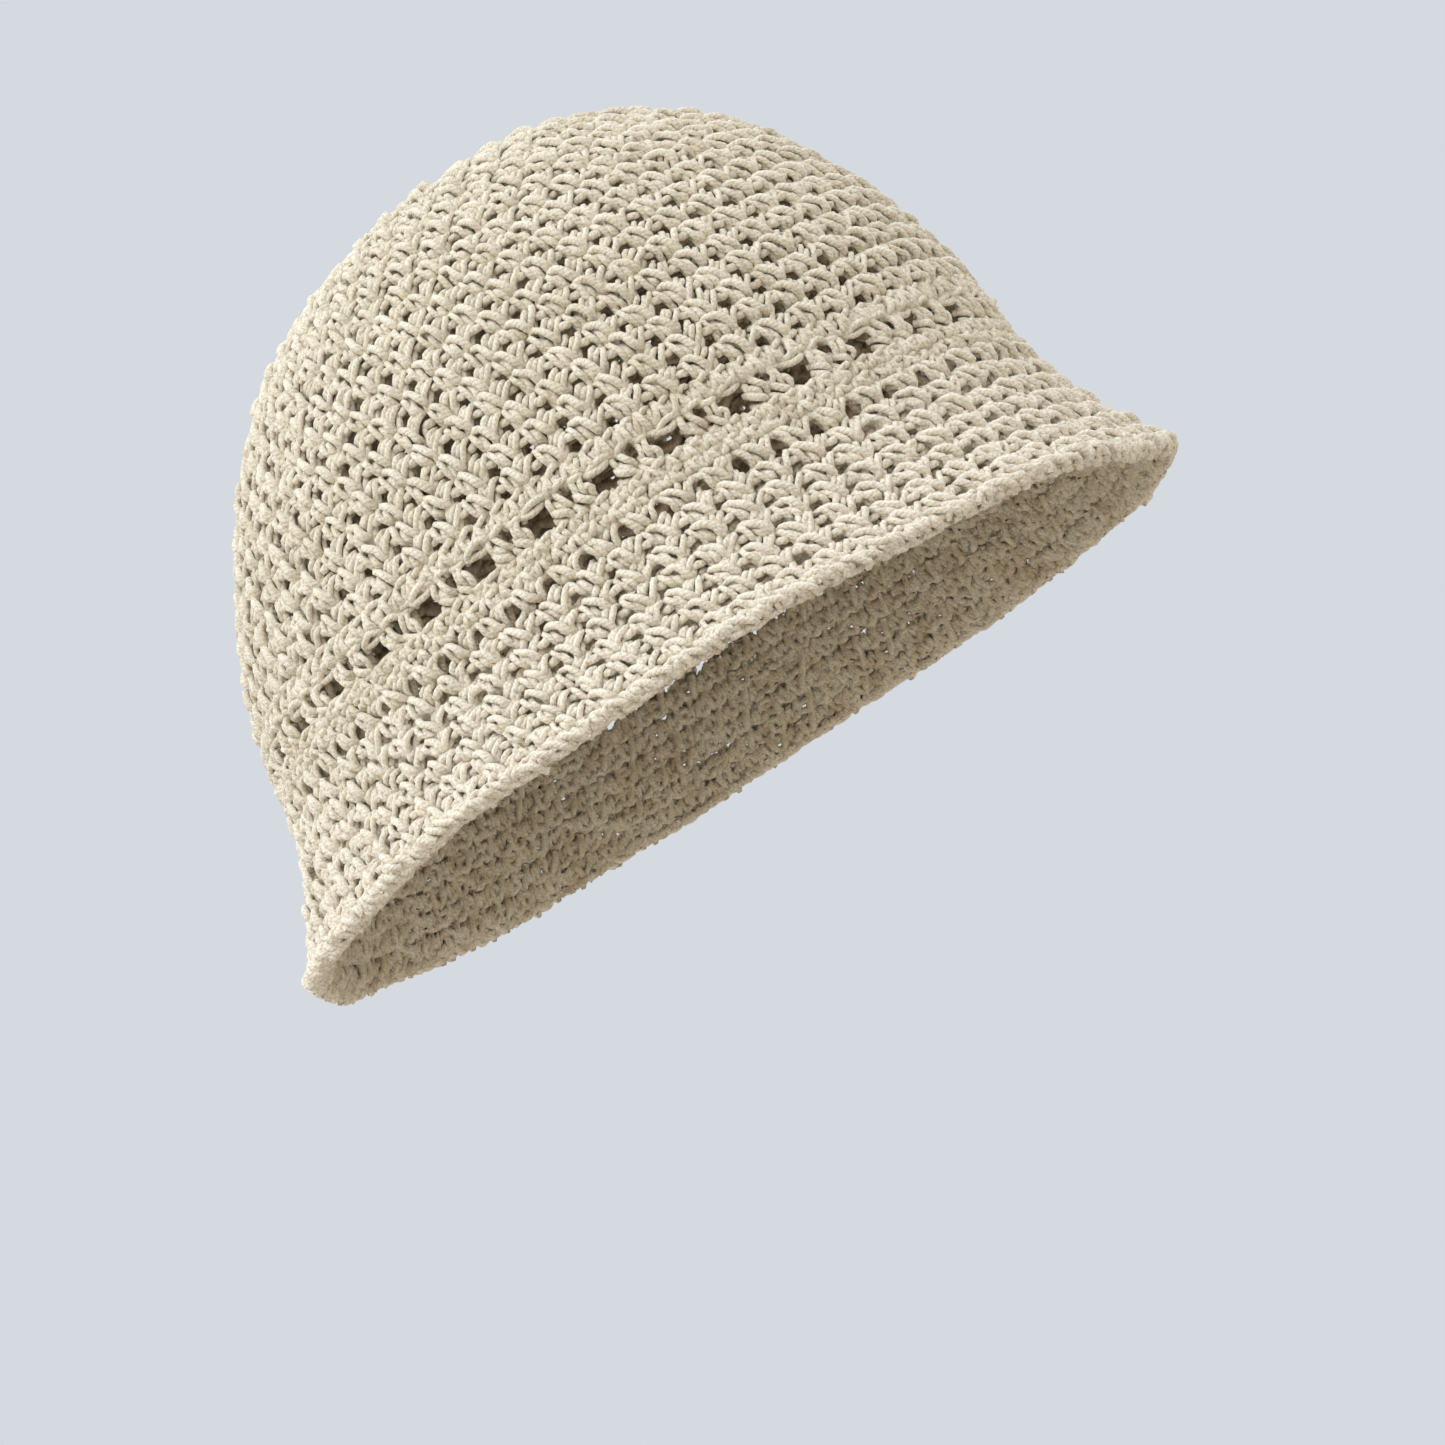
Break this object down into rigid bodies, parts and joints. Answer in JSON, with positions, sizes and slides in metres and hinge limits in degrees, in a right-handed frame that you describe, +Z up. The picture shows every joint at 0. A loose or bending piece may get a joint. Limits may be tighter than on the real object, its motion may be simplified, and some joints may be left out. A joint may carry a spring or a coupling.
{
  "type": "crocheted cloche hat",
  "caption": "Crocheted cotton cloche hat with a domed crown, two rows of eyelets round the band and a short flared brim that shades the face.",
  "frame": {"origin": "middle of the brim's edge, on the surface that the hat stands on", "axes": "+Z up through the crown, -Y to the front of the hat, the longest way across is front to back along Y"},
  "size_m": [0.1984, 0.242, 0.149],
  "materials": {
    "cotton_yarn": "matte twisted cotton yarn"
  },
  "bodies": {
    "root": {"starting_ring": "cotton_yarn", "crown_centre": "cotton_yarn", "crown_shoulder": "cotton_yarn", "crown_upper_side": "cotton_yarn", "crown_lower_side": "cotton_yarn", "collar_round": "cotton_yarn", "eyelet_round": "cotton_yarn", "headband": "cotton_yarn", "small_eyelet_round": "cotton_yarn", "brim_root": "cotton_yarn", "brim_flare": "cotton_yarn", "brim_edge": "cotton_yarn"}
  },
  "joints": []
}
